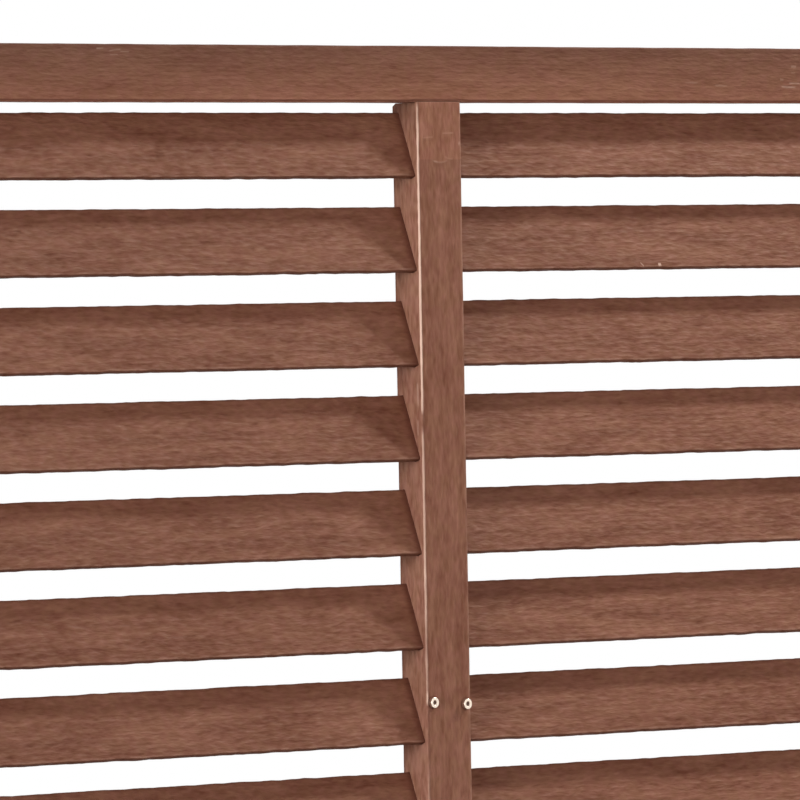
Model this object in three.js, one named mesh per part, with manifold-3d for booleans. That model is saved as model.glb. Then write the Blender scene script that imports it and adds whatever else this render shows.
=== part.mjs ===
// A louvred fence panel of stained timber. A top and a bottom rail, two stiles and a mullion make the frame,
// and two bays of fixed slats are let into the sides of the uprights.
// Millimetres, +X to the right as seen from the front, the front faces -Y, +Z up. The origin is on the
// underside of the bottom rail, at the middle of the panel's width and of the frame's depth.
import * as THREE from "three";
import { mergeVertices } from "three/addons/utils/BufferGeometryUtils.js";
import Module from "manifold-3d";

const wasm = await Module();
wasm.setup();

// Frame
const panelWidth = 1800;
const panelHeight = 1000;
const frameDepth = 28;
const railFace = 42.4; // height of each rail, seen from the front
const uprightFace = 45; // width of each stile and of the mullion, seen from the front
const frameArris = 1.2; // radius of the eased long edges

// Joints of the frame
const tenonThickness = 10;
const tenonLength = 20;
const tenonShoulder = 6; // from the side of an upright to the side of its tenon
const fitGap = 0.3; // clearance wherever one piece sits in, on or against another
const overrun = 2; // how far a cutting tool runs past the face it cuts, or a joined block into its piece

// Slats
const slatsPerBay = 13;
const slatWidth = 51.5;
const slatThickness = 6;
const slatTilt = THREE.MathUtils.degToRad(20.5); // upper edge leaning back from the vertical
const slatArris = 1;
const slatSetback = 3.2; // front face of the frame to the slats' lower front arris, before it is eased
const slatEndGap = 7.1; // clear height between a rail and the slat next to it, before it is eased
const housingDepth = 11; // how far a slat's end goes into an upright

// Screws through the rails into the uprights, countersunk
const railScrewLength = 60;
const railScrewShank = 5;
const railScrewHead = 10;
const railScrewCone = 2.8; // height of the countersunk cone
const railScrewRim = 0.6; // height of the straight rim above the cone
const railScrewPoint = 7;
const railScrewSpacing = 16; // between the two screws of one joint
const recessSpan = 5; // end to end of the cross recess
const recessSlot = 1.1; // width of each arm of the cross
const recessDepth = 2.2;

// Screws through the uprights that pin the middle slats, with low flat-topped heads
const slatScrewLength = 24; // under the head
const slatScrewShank = 4;
const slatScrewHead = 8;
const slatScrewHeadHeight = 2.6;
const slatScrewSide = 2.2; // height of the straight side of the head
const slatScrewCrown = 7.2; // diameter of the flat top
const slatScrewPoint = 4.5;
const leftScrewRise = 6.5; // of the left bay's screws, above the middle of the slat that they pin
const rightScrewRise = 4.3; // the same in the right bay, where they sit a little lower
const socketFlats = 3; // across the flats of the hexagonal socket
const socketDepth = 1.6;

// Steps in the curves
const arrisSteps = 1;
const turnSteps = 12;
const headTurnSteps = 20;
const headArrisSteps = 2;
const socketSides = 6;

// Derived places
const openHeight = panelHeight - 2 * railFace;
const bayWidth = (panelWidth - 3 * uprightFace) / 2;
const bayCentre = (uprightFace + bayWidth) / 2;
const stileCentre = (panelWidth - uprightFace) / 2;
const slatLength = bayWidth + 2 * (housingDepth - fitGap);
const slatRise = slatWidth * Math.cos(slatTilt) + slatThickness * Math.sin(slatTilt);
const slatReach = slatWidth * Math.sin(slatTilt) + slatThickness * Math.cos(slatTilt);
const slatPitch = (openHeight - 2 * slatEndGap - slatRise) / (slatsPerBay - 1);
const slatTop = panelHeight - railFace - slatEndGap - slatRise / 2; // middle of the top slat
const slatCentreY = -frameDepth / 2 + slatSetback + slatReach / 2;
const pinnedSlat = Math.floor(slatsPerBay / 2);
const slatScrewInset = housingDepth / 2; // from the side of an upright, so in the middle of the slat's end

// The height of the middle of a slat, counted down from 0 at the top.
function slatHeight(row) {
  return slatTop - row * slatPitch;
}

// A closed geometry as a solid that can be cut and joined.
function solidOf(geometry) {
  const bare = geometry.clone();
  bare.deleteAttribute("normal");
  bare.deleteAttribute("uv");
  const merged = mergeVertices(bare);
  const mesh = new wasm.Mesh({
    numProp: 3,
    vertProperties: merged.attributes.position.array,
    triVerts: new Uint32Array(merged.index.array),
  });
  return new wasm.Manifold(mesh);
}

function geometryOf(solid) {
  const mesh = solid.getMesh();
  const geometry = new THREE.BufferGeometry();
  geometry.setAttribute("position", new THREE.BufferAttribute(mesh.vertProperties, mesh.numProp));
  geometry.setIndex(new THREE.BufferAttribute(mesh.triVerts, 1));
  geometry.computeVertexNormals();
  return geometry;
}

// Materials, as the photograph shows them
function stainedTimber() {
  return new THREE.MeshStandardMaterial({ color: "#8a5e4d", roughness: 0.72, metalness: 0 });
}

function platedSteel() {
  return new THREE.MeshStandardMaterial({ color: "#d9d2c6", roughness: 0.32, metalness: 1 });
}

// A rectangle centred on the origin with rounded corners.
function easedOutline(width, height, radius) {
  const right = width / 2 - radius;
  const top = height / 2 - radius;
  const outline = new THREE.Shape();
  outline.absarc(right, top, radius, 0, Math.PI / 2);
  outline.absarc(-right, top, radius, Math.PI / 2, Math.PI);
  outline.absarc(-right, -top, radius, Math.PI, 1.5 * Math.PI);
  outline.absarc(right, -top, radius, 1.5 * Math.PI, 2 * Math.PI);
  outline.closePath();
  return outline;
}

// A planed bar with eased long edges, its length along Z, centred on the origin.
function planedBar(width, depth, length, radius) {
  const outline = easedOutline(width, depth, radius);
  const bar = new THREE.ExtrudeGeometry(outline, {
    depth: length,
    bevelEnabled: false,
    curveSegments: arrisSteps,
  });
  return bar.translate(0, 0, -length / 2);
}

// A slat lying along X at its tilt, with its middle at the origin. Extra makes the tool for its housing.
function tiltedSlat(length, extra) {
  const bar = planedBar(slatWidth + 2 * extra, slatThickness + 2 * extra, length, slatArris + extra);
  return bar.rotateY(Math.PI / 2).rotateX(-slatTilt);
}

// A straight round tool along Z, from the lower height to the upper one.
function roundTool(radius, lower, upper) {
  const tool = new THREE.CylinderGeometry(radius, radius, upper - lower, turnSteps);
  return tool.rotateX(Math.PI / 2).translate(0, 0, (lower + upper) / 2);
}

// The tenon of an upright, or with extra the tool for its mortise, standing on z = 0 and sunk below it.
function tenonBlock(extra) {
  const width = uprightFace - 2 * tenonShoulder + 2 * extra;
  const height = tenonLength + extra + overrun;
  const block = new THREE.BoxGeometry(width, tenonThickness + 2 * extra, height);
  return block.translate(0, 0, height / 2 - overrun);
}

// The hole that a rail screw takes in rail and upright, from the rail's outer edge at z = 0 downwards.
function railScrewHole() {
  const bore = railScrewShank / 2 + fitGap;
  const mouth = railScrewHead / 2 + fitGap;
  const seat = -fitGap - railScrewRim;
  const profile = [
    new THREE.Vector2(0, -railScrewLength - 2 * fitGap),
    new THREE.Vector2(bore, -railScrewLength - 2 * fitGap),
    new THREE.Vector2(bore, seat - railScrewCone),
    new THREE.Vector2(mouth, seat),
    new THREE.Vector2(mouth, overrun),
    new THREE.Vector2(0, overrun),
  ];
  return new THREE.LatheGeometry(profile, turnSteps).rotateX(Math.PI / 2);
}

// A countersunk screw along Z, the top of its head at z = 0.
function railScrewGeometry() {
  const shank = railScrewShank / 2;
  const head = railScrewHead / 2;
  const profile = [
    new THREE.Vector2(0, -railScrewLength),
    new THREE.Vector2(shank, railScrewPoint - railScrewLength),
    new THREE.Vector2(shank, -railScrewRim - railScrewCone),
    new THREE.Vector2(head, -railScrewRim),
    new THREE.Vector2(head, 0),
    new THREE.Vector2(0, 0),
  ];
  const body = new THREE.LatheGeometry(profile, turnSteps).rotateX(Math.PI / 2);
  const arm = new THREE.BoxGeometry(recessSpan, recessSlot, 2 * recessDepth);
  const crossArm = new THREE.BoxGeometry(recessSlot, recessSpan, 2 * recessDepth);
  return geometryOf(solidOf(body).subtract(solidOf(arm)).subtract(solidOf(crossArm)));
}

// A flat-topped screw along Z, the underside of its head at z = 0.
function slatScrewGeometry() {
  const shank = slatScrewShank / 2;
  const crown = slatScrewCrown / 2;
  const profile = [
    new THREE.Vector2(0, -slatScrewLength),
    new THREE.Vector2(shank, slatScrewPoint - slatScrewLength),
    new THREE.Vector2(shank, 0),
    new THREE.Vector2(slatScrewHead / 2, 0),
  ];
  for (let step = 0; step <= headArrisSteps; step += 1) {
    const angle = (step / headArrisSteps) * (Math.PI / 2);
    const out = crown + (slatScrewHead / 2 - crown) * Math.cos(angle);
    const up = slatScrewSide + (slatScrewHeadHeight - slatScrewSide) * Math.sin(angle);
    profile.push(new THREE.Vector2(out, up));
  }
  profile.push(new THREE.Vector2(0, slatScrewHeadHeight));
  const body = new THREE.LatheGeometry(profile, headTurnSteps).rotateX(Math.PI / 2);
  const corner = socketFlats / Math.sqrt(3);
  const socket = new THREE.CylinderGeometry(corner, corner, socketDepth + overrun, socketSides);
  const mouth = slatScrewHeadHeight - socketDepth + (socketDepth + overrun) / 2;
  socket.rotateX(Math.PI / 2).translate(0, 0, mouth);
  return geometryOf(solidOf(body).subtract(solidOf(socket)));
}

// The hole for a slat screw along Y, at the given place across and up.
function slatScrewHole(x, z) {
  const front = -frameDepth / 2 - overrun;
  const tip = -frameDepth / 2 + slatScrewLength + fitGap;
  const tool = roundTool(slatScrewShank / 2 + fitGap, -tip, -front);
  return tool.rotateX(Math.PI / 2).translate(x, 0, z);
}

// Where the two screws of a frame joint stand, across the upright.
function railScrewPlaces() {
  return [-railScrewSpacing / 2, railScrewSpacing / 2];
}

// A rail lying along X, its mortises below and its screw holes above, as in the top rail.
function railGeometry(uprightPlaces) {
  const bar = planedBar(railFace, frameDepth, panelWidth, frameArris).rotateY(Math.PI / 2);
  let rail = solidOf(bar);
  for (const x of uprightPlaces) {
    const mortise = tenonBlock(fitGap).translate(x, 0, -railFace / 2);
    rail = rail.subtract(solidOf(mortise));
    for (const offset of railScrewPlaces()) {
      const hole = railScrewHole().translate(x + offset, 0, railFace / 2);
      rail = rail.subtract(solidOf(hole));
    }
  }
  return geometryOf(rail);
}

// An upright in its place in the panel, but at x = 0, with housings on the side of each bay that it faces.
function uprightGeometry(bays) {
  const length = openHeight - 2 * fitGap;
  const bar = planedBar(uprightFace, frameDepth, length, frameArris);
  let upright = solidOf(bar.translate(0, 0, panelHeight / 2));
  const shoulder = length / 2;
  for (const turn of [0, Math.PI]) {
    const tenon = tenonBlock(0).translate(0, 0, shoulder);
    tenon.rotateX(turn).translate(0, 0, panelHeight / 2);
    upright = upright.add(solidOf(tenon));
    for (const offset of railScrewPlaces()) {
      const hole = railScrewHole().translate(offset, 0, panelHeight / 2);
      hole.rotateX(turn).translate(0, 0, panelHeight / 2);
      upright = upright.subtract(solidOf(hole));
    }
  }
  for (const { bay, side } of bays) {
    const housingLength = housingDepth + overrun;
    const housingX = side * (uprightFace / 2 - housingDepth + housingLength / 2);
    for (let row = 0; row < slatsPerBay; row += 1) {
      const housing = tiltedSlat(housingLength, fitGap);
      housing.translate(housingX, slatCentreY, slatHeight(row));
      upright = upright.subtract(solidOf(housing));
    }
    const screwX = side * (uprightFace / 2 - slatScrewInset);
    const screwZ = slatHeight(pinnedSlat) + bay.screwRise;
    upright = upright.subtract(solidOf(slatScrewHole(screwX, screwZ)));
  }
  return geometryOf(upright);
}

// A slat with a hole for a screw near each end, its middle at the origin.
function pinnedSlatGeometry(screwRise) {
  const screwX = bayWidth / 2 + slatScrewInset;
  let slat = solidOf(tiltedSlat(slatLength, 0));
  for (const side of [-1, 1]) {
    const hole = slatScrewHole(side * screwX, screwRise);
    slat = slat.subtract(solidOf(hole.translate(0, -slatCentreY, 0)));
  }
  return geometryOf(slat);
}

const panel = new THREE.Group();

function addPiece(name, geometry, material, x, y, z) {
  const piece = new THREE.Mesh(geometry, material);
  piece.name = name;
  piece.position.set(x, y, z);
  panel.add(piece);
  return piece;
}

const leftBay = { name: "left", x: -bayCentre, screwRise: leftScrewRise };
const rightBay = { name: "right", x: bayCentre, screwRise: rightScrewRise };

// Side is the side of the upright that the bay is on.
const uprights = [
  { name: "left_stile", x: -stileCentre, bays: [{ bay: leftBay, side: 1 }] },
  { name: "mullion", x: 0, bays: [{ bay: leftBay, side: -1 }, { bay: rightBay, side: 1 }] },
  { name: "right_stile", x: stileCentre, bays: [{ bay: rightBay, side: -1 }] },
];

function addFrame() {
  const rail = railGeometry(uprights.map((upright) => upright.x));
  addPiece("top_rail", rail, stainedTimber(), 0, 0, panelHeight - railFace / 2);
  const bottomRail = addPiece("bottom_rail", rail, stainedTimber(), 0, 0, railFace / 2);
  bottomRail.rotation.x = Math.PI;
  for (const upright of uprights) {
    addPiece(upright.name, uprightGeometry(upright.bays), stainedTimber(), upright.x, 0, 0);
  }
}

function addSlats() {
  const plain = tiltedSlat(slatLength, 0);
  for (const bay of [leftBay, rightBay]) {
    const pinned = pinnedSlatGeometry(bay.screwRise);
    for (let row = 0; row < slatsPerBay; row += 1) {
      const name = `slat_${bay.name}_${String(row + 1).padStart(2, "0")}`;
      const geometry = row === pinnedSlat ? pinned : plain;
      addPiece(name, geometry, stainedTimber(), bay.x, slatCentreY, slatHeight(row));
    }
  }
}

function addRailScrews() {
  const geometry = railScrewGeometry();
  for (const upright of uprights) {
    railScrewPlaces().forEach((offset, index) => {
      const x = upright.x + offset;
      const label = `${upright.name}_${index + 1}`;
      addPiece(`top_screw_${label}`, geometry, platedSteel(), x, 0, panelHeight - fitGap);
      const low = addPiece(`bottom_screw_${label}`, geometry, platedSteel(), x, 0, fitGap);
      low.rotation.x = Math.PI;
    });
  }
}

function addSlatScrews() {
  const geometry = slatScrewGeometry();
  const seat = -frameDepth / 2 - fitGap;
  for (const upright of uprights) {
    for (const { bay, side } of upright.bays) {
      const x = upright.x + side * (uprightFace / 2 - slatScrewInset);
      const name = `slat_screw_${bay.name}_bay_at_${upright.name}`;
      const z = slatHeight(pinnedSlat) + bay.screwRise;
      const screw = addPiece(name, geometry, platedSteel(), x, seat, z);
      screw.rotation.x = Math.PI / 2;
    }
  }
}

addFrame();
addSlats();
addRailScrews();
addSlatScrews();

export default panel;
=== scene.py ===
import math

import bmesh
import bpy
from mathutils import Matrix, Vector, noise


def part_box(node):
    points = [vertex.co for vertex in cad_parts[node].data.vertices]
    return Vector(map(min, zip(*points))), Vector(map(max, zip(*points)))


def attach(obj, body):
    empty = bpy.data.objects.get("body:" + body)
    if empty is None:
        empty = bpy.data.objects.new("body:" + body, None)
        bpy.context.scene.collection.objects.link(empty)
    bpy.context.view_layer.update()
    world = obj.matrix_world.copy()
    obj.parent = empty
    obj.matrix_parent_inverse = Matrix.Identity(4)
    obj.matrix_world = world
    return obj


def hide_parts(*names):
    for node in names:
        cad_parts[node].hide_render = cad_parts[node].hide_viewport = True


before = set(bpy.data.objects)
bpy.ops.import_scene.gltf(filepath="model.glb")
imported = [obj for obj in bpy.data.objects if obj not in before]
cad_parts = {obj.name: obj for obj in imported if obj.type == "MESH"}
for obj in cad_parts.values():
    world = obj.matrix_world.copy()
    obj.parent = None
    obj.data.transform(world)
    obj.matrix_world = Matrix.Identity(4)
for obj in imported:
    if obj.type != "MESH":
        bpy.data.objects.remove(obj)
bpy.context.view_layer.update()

# A louvred fence panel in stained timber, dressed round its frame. Metres, the front faces -Y.
scene = bpy.context.scene
print("frame loaded:", len(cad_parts), "nodes")


def middleOf(node):
    low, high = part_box(node)
    return (low + high) / 2


# Camera, fitted to the rails, slats and mullion of the photograph
photoCamera = {
    "place": (-5.2329, -5.5887, 0.7985),
    "yaw": 42.941,    # degrees to the right of +Y
    "pitch": 0.482,   # degrees downwards
    "roll": 0.9997,   # degrees
    "lens": 457.34,   # mm
    "sensor": 36,     # mm
    "sightEnd": 200,
}


def makeCamera(settings):
    data = bpy.data.cameras.new("photo_camera")
    data.lens = settings["lens"]
    data.sensor_width = settings["sensor"]
    data.clip_end = settings["sightEnd"]
    camera = bpy.data.objects.new("photo_camera", data)
    scene.collection.objects.link(camera)
    turn = Matrix.Rotation(-math.radians(settings["yaw"]), 4, "Z")
    tip = Matrix.Rotation(math.radians(90 - settings["pitch"]), 4, "X")
    lean = Matrix.Rotation(-math.radians(settings["roll"]), 4, "Z")
    camera.matrix_world = Matrix.Translation(settings["place"]) @ turn @ tip @ lean
    scene.camera = camera


makeCamera(photoCamera)
print("camera placed")


# Node helpers

def addNode(tree, kind, inputs=None, **settings):
    node = tree.nodes.new(kind)
    for setting, value in settings.items():
        setattr(node, setting, value)
    for socket, value in (inputs or {}).items():
        if isinstance(value, bpy.types.NodeSocket):
            tree.links.new(value, node.inputs[socket])
        else:
            node.inputs[socket].default_value = value
    return node


def maths(tree, operation, first, second=0.0, third=0.0, clamp=False):
    node = addNode(tree, "ShaderNodeMath", {0: first, 1: second, 2: third}, operation=operation)
    node.use_clamp = clamp
    return node.outputs[0]


def vectorMaths(tree, operation, first, second=(0, 0, 0), third=(0, 0, 0)):
    node = addNode(tree, "ShaderNodeVectorMath", {0: first, 1: second, 2: third}, operation=operation)
    return node.outputs[0]


def scaleColour(tree, colour, level):
    node = addNode(tree, "ShaderNodeVectorMath", {0: colour, "Scale": level}, operation="SCALE")
    return node.outputs[0]


def mixColour(tree, factor, first, second):
    return addNode(tree, "ShaderNodeMix", {0: factor, 6: first, 7: second}, data_type="RGBA").outputs[2]


def remap(tree, value, fromMin, fromMax, toMin=0.0, toMax=1.0, smooth=True):
    kind = "SMOOTHSTEP" if smooth else "LINEAR"
    sizes = {0: value, 1: fromMin, 2: fromMax, 3: toMin, 4: toMax}
    return addNode(tree, "ShaderNodeMapRange", sizes, interpolation_type=kind).outputs[0]


def cloud(tree, coordinates, scale, detail, roughness=0.5):
    sizes = {"Vector": coordinates, "Scale": scale, "Detail": detail, "Roughness": roughness}
    return addNode(tree, "ShaderNodeTexNoise", sizes).outputs


def attributeValue(tree, name):
    return addNode(tree, "ShaderNodeAttribute", attribute_name=name).outputs["Fac"]


def objectPlace(tree):
    return addNode(tree, "ShaderNodeTexCoord").outputs["Object"]


def splitPlace(tree, place):
    return addNode(tree, "ShaderNodeSeparateXYZ", {0: place}).outputs


def newMaterial(name):
    material = bpy.data.materials.new(name)
    material.use_nodes = True
    material.node_tree.nodes.clear()
    return material


# Stained timber, the same finish on every wooden piece
timber = {
    "red": (0.212, 0.0800, 0.0485, 1),
    "olive": (0.207, 0.0820, 0.0455, 1),
    "dark": (0.100, 0.0300, 0.0170, 1),
    "bare": (0.800, 0.550, 0.430, 1),
    "patches": {"scale": 110, "detail": 1.0, "levels": (0.38, 0.62)},      # of red among the olive
    "swirl": {"scale": 14, "detail": 1.0, "reach": 0.0040},
    "curl": {"scale": 60, "detail": 1.0, "reach": 0.0008},
    "dash": {"stretch": (92, 320, 320), "detail": 1.3},
    "fibre": {"stretch": (190, 1100, 1100), "detail": 2.0},
    "broad": {"stretch": (10, 84, 84), "detail": 2.0},
    "nick": {"stretch": (75, 400, 400), "detail": 1.0},
    "nickLevels": (0.60, 0.72),
    "streakRoughness": 0.55,
    "weights": {     # how much each layer of streaks shades the colour, and how deep the relief is
        "slat": {"dash": 0.78, "fibre": 0.16, "broad": 1.00, "nick": 0.15, "relief": 0.85},
        "rail": {"dash": 0.38, "fibre": 0.12, "broad": 0.65, "nick": 0.14, "relief": 0.60},
        "upright": {"dash": 0.85, "fibre": 0.15, "broad": 0.60, "nick": 0.10, "relief": 1.00},
    },
    "tints": {"slat": (1.01, 1.0, 0.985), "rail": (0.99, 1.02, 1.03), "upright": (0.985, 1.04, 1.08)},
    "shading": (0.84, 1.15, 1.32),     # pale streaks are greyer, dark ones redder
    "fibreRelief": 0.25,
    "rings": {"spacing": 0.0034, "twist": 3.0, "detail": 2.0, "detailScale": 0.2, "weight": 0.035,
              "relief": 0.08},
    "endGrain": {"levels": (0.6, 0.95), "ringWeight": 0.45, "tone": 0.72},
    "rubbed": {"levels": (0.35, 0.60), "least": 0.45},    # rubbed edges are barest on the pale streaks
    "bumpDepth": 0.0012,
    "sheenLevels": (0.3, 0.7),
    "roughness": (0.60, 0.78),
    "specular": 0.14,
}

waveLength = math.pi / 10      # of the wave texture's rings at a scale of 1


def grainCoordinates(tree, grain):
    along = objectPlace(tree)
    if grain == "Z":
        quarter = (0, math.pi / 2, 0)
        along = addNode(tree, "ShaderNodeMapping", {"Vector": along, "Rotation": quarter}).outputs[0]
    return along


def bendGrain(tree, coordinates, settings):
    sway = cloud(tree, coordinates, settings["scale"], settings["detail"])["Color"]
    centred = vectorMaths(tree, "SUBTRACT", sway, (0.5, 0.5, 0.5))
    reach = settings["reach"]
    shift = vectorMaths(tree, "MULTIPLY", centred, (0, reach, reach))
    return vectorMaths(tree, "ADD", coordinates, shift)


def streaks(tree, coordinates, layer):
    sizes = {"Vector": coordinates, "Scale": layer["stretch"]}
    stretched = addNode(tree, "ShaderNodeMapping", sizes).outputs[0]
    return cloud(tree, stretched, 1.0, layer["detail"], timber["streakRoughness"])["Fac"]


def growthRings(tree, coordinates):
    rings = timber["rings"]
    sizes = {"Vector": coordinates, "Scale": waveLength / rings["spacing"], "Distortion": rings["twist"],
             "Detail": rings["detail"], "Detail Scale": rings["detailScale"]}
    field = addNode(tree, "ShaderNodeTexWave", sizes, wave_type="RINGS", rings_direction="X")
    return field.outputs["Fac"]


# 1 on the cut ends of a piece, 0 along its grain
def endGrainShare(tree, grain):
    normal = addNode(tree, "ShaderNodeTexCoord").outputs["Normal"]
    facing = maths(tree, "ABSOLUTE", splitPlace(tree, normal)[grain])
    return remap(tree, facing, *timber["endGrain"]["levels"])


def stainColour(tree, kind, straight, brightness, endGrain):
    shading = timber["shading"]
    steady = tuple(1.0 - part for part in shading)
    shade = vectorMaths(tree, "MULTIPLY_ADD", brightness, shading, steady)
    tint = vectorMaths(tree, "MULTIPLY", shade, timber["tints"][kind])
    patches = timber["patches"]
    patch = cloud(tree, straight, patches["scale"], patches["detail"])["Fac"]
    stain = mixColour(tree, remap(tree, patch, *patches["levels"]), timber["olive"], timber["red"])
    stain = vectorMaths(tree, "MULTIPLY", stain, tint)
    endTone = remap(tree, endGrain, 0, 1, 1.0, timber["endGrain"]["tone"], smooth=False)
    # The tone attribute also carries painted light and painted shade on some faces
    return scaleColour(tree, stain, maths(tree, "MULTIPLY", endTone, attributeValue(tree, "tone")))


# Edges and faces: an attribute below zero darkens them, for gathered stain and painted shade, and above zero
# makes them paler, for stain rubbed thin, painted light and painted highlights
def edgeWearAndPaintedLight(tree, colour, dash):
    wearAndPaintedLight = attributeValue(tree, "wearAndPaintedLight")
    stainAndPaintedShade = maths(tree, "MULTIPLY", wearAndPaintedLight, -1.0, clamp=True)
    colour = mixColour(tree, stainAndPaintedShade, colour, timber["dark"])
    rubbed = timber["rubbed"]
    patchy = remap(tree, dash, *rubbed["levels"], rubbed["least"], 1.0)
    bareAndPaintedLight = maths(tree, "MULTIPLY", wearAndPaintedLight, patchy, clamp=True)
    return mixColour(tree, bareAndPaintedLight, colour, timber["bare"])


# The colour and the relief of the timber, before any marks of a piece
def timberField(tree, grain, kind):
    weights = timber["weights"][kind]
    rings = timber["rings"]
    straight = grainCoordinates(tree, grain)
    bent = bendGrain(tree, bendGrain(tree, straight, timber["swirl"]), timber["curl"])
    layers = ("dash", "fibre", "broad", "nick")
    dash, fibre, broad, nick = (streaks(tree, bent, timber[layer]) for layer in layers)
    ring = growthRings(tree, bent)
    endGrain = endGrainShare(tree, grain)
    brightness = 1.0 - (weights["dash"] + weights["fibre"] + weights["broad"]) / 2
    for field, layer in ((dash, "dash"), (fibre, "fibre"), (broad, "broad")):
        brightness = maths(tree, "MULTIPLY_ADD", field, weights[layer], brightness)
    nicked = remap(tree, nick, *timber["nickLevels"])
    brightness = maths(tree, "MULTIPLY_ADD", nicked, -weights["nick"], brightness)
    ringWeight = remap(tree, endGrain, 0, 1, rings["weight"], timber["endGrain"]["ringWeight"], smooth=False)
    ringShade = maths(tree, "MULTIPLY", maths(tree, "SUBTRACT", ring, 0.5), ringWeight)
    brightness = maths(tree, "ADD", brightness, ringShade)
    colour = edgeWearAndPaintedLight(tree, stainColour(tree, kind, straight, brightness, endGrain), dash)
    relief = maths(tree, "MULTIPLY_ADD", fibre, timber["fibreRelief"], dash)
    relief = maths(tree, "MULTIPLY_ADD", ring, rings["relief"], relief)
    relief = maths(tree, "MULTIPLY", relief, weights["relief"])
    return straight, colour, relief, dash


# Lays one of the timber's own colours over another, where both the amount and the mask say so
def layOver(tree, colour, stain, amount, mask):
    return mixColour(tree, maths(tree, "MULTIPLY", amount, mask), colour, timber[stain])


def finishTimber(tree, colour, relief, dash):
    sizes = {"Strength": 1.0, "Distance": timber["bumpDepth"], "Height": relief}
    bump = addNode(tree, "ShaderNodeBump", sizes)
    low, high = timber["roughness"]
    shader = addNode(tree, "ShaderNodeBsdfPrincipled", {
        "Base Color": colour,
        "Roughness": remap(tree, dash, *timber["sheenLevels"], high, low, smooth=False),
        "Specular IOR Level": timber["specular"],
        "Normal": bump.outputs[0],
    })
    addNode(tree, "ShaderNodeOutputMaterial", {"Surface": shader.outputs[0]})


# A small mark on a face: a slightly bent line between two places, which fades at its ends and sides
def mark(start, end, width, strength, stain="bare", bend=0.0):
    return {"from": start, "to": end, "width": width, "strength": strength, "stain": stain, "bend": bend}


markFade = 0.35       # where a mark's ends start to fade, as the square of the share of its half length


def addMark(tree, colour, across, up, dash, mask, stroke):
    (startAcross, startUp), (endAcross, endUp) = stroke["from"], stroke["to"]
    bend, width = stroke["bend"], stroke["width"]
    half = (endAcross - startAcross) / 2
    share = maths(tree, "DIVIDE", maths(tree, "SUBTRACT", across, startAcross + half), half)
    square = maths(tree, "MULTIPLY", share, share)
    line = maths(tree, "MULTIPLY_ADD", share, (endUp - startUp) / 2, (startUp + endUp) / 2 + bend)
    line = maths(tree, "MULTIPLY_ADD", square, -bend, line)
    gap = maths(tree, "ABSOLUTE", maths(tree, "SUBTRACT", up, line))
    gap = maths(tree, "MULTIPLY_ADD", dash, width, maths(tree, "SUBTRACT", gap, width / 2))
    band = remap(tree, gap, 0.0, width, stroke["strength"], 0.0)
    taper = remap(tree, square, markFade, 1.0, 1.0, 0.0)
    return layOver(tree, colour, stroke["stain"], maths(tree, "MULTIPLY", band, taper), mask)


def addMarks(tree, colour, across, up, dash, mask, strokes):
    for stroke in strokes:
        colour = addMark(tree, colour, across, up, dash, mask, stroke)
    return colour


# Slats: painted shade, with gathered stain, in dark bands where their ends go into the uprights, at the same
# distances from the middle in both bays
slatEndShade = {
    "width": 0.0080,
    "depth": 0.85,
    "sides": (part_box("mullion")[1].x, -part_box("left_stile")[1].x),
}

# Two spots on a slat's lower edge where the stain is knocked off, as (x, z) places
slatSpots = [
    mark((0.2132, 0.8352), (0.2166, 0.8320), 0.0013, 0.30),
    mark((0.2318, 0.8334), (0.2354, 0.8334), 0.0017, 0.60),
]


def slatMaterial():
    material = newMaterial("stained_slat")
    tree = material.node_tree
    straight, colour, relief, dash = timberField(tree, "X", "slat")
    place = splitPlace(tree, straight)
    colour = addMarks(tree, colour, place["X"], place["Z"], dash, 1.0, slatSpots)
    out = maths(tree, "ABSOLUTE", place["X"])
    for side in slatEndShade["sides"]:
        gap = maths(tree, "ABSOLUTE", maths(tree, "SUBTRACT", out, side))
        # painted shade where the slat goes into the upright
        shade = remap(tree, gap, 0.0, slatEndShade["width"], slatEndShade["depth"], 0.0)
        colour = mixColour(tree, shade, colour, timber["dark"])
    finishTimber(tree, colour, relief, dash)
    return material


# Scuffs on the top rail's front, as (x, z) places
railScuffs = [
    mark((-0.3420, 0.9965), (-0.3340, 0.9966), 0.0008, 0.20),
    mark((-0.3300, 0.9945), (-0.3170, 0.9958), 0.0010, 0.15, bend=0.0003),
    mark((-0.3190, 0.9944), (-0.3090, 0.9940), 0.0008, 0.12),
    mark((-0.3290, 0.9918), (-0.3200, 0.9921), 0.0008, 0.10),
    mark((0.3758, 0.9859), (0.3822, 0.9857), 0.0014, 0.17),
    mark((0.3635, 0.9760), (0.3680, 0.9756), 0.0014, 0.12),
    mark((0.3730, 0.9729), (0.3870, 0.9727), 0.0012, 0.22),
    mark((0.3640, 0.9703), (0.3820, 0.9697), 0.0012, 0.24),
    mark((0.2600, 0.9732), (0.2750, 0.9730), 0.0012, 0.10),
    mark((0.2920, 0.9710), (0.3070, 0.9706), 0.0012, 0.10),
    mark((0.3760, 0.9812), (0.3810, 0.9811), 0.0014, 0.07),
]

# Dark line along the inner edges of the rails' faces, by the distance from the edge: gathered stain, and
# painted shade under the top rail's rounded lower arris and at its joints
innerEdgeStainAndShade = {
    "start": (0.0002, 0.0010),
    "end": (0.0014, 0.0024),
    "depth": 0.82,
    "lift": 0.0005,         # how much higher it runs over the mullion
    "reach": (0.021, 0.034),
}

faceDepth = {"rail": 0.0006, "upright": 0.0004}     # how far below a face its marks still show


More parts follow.
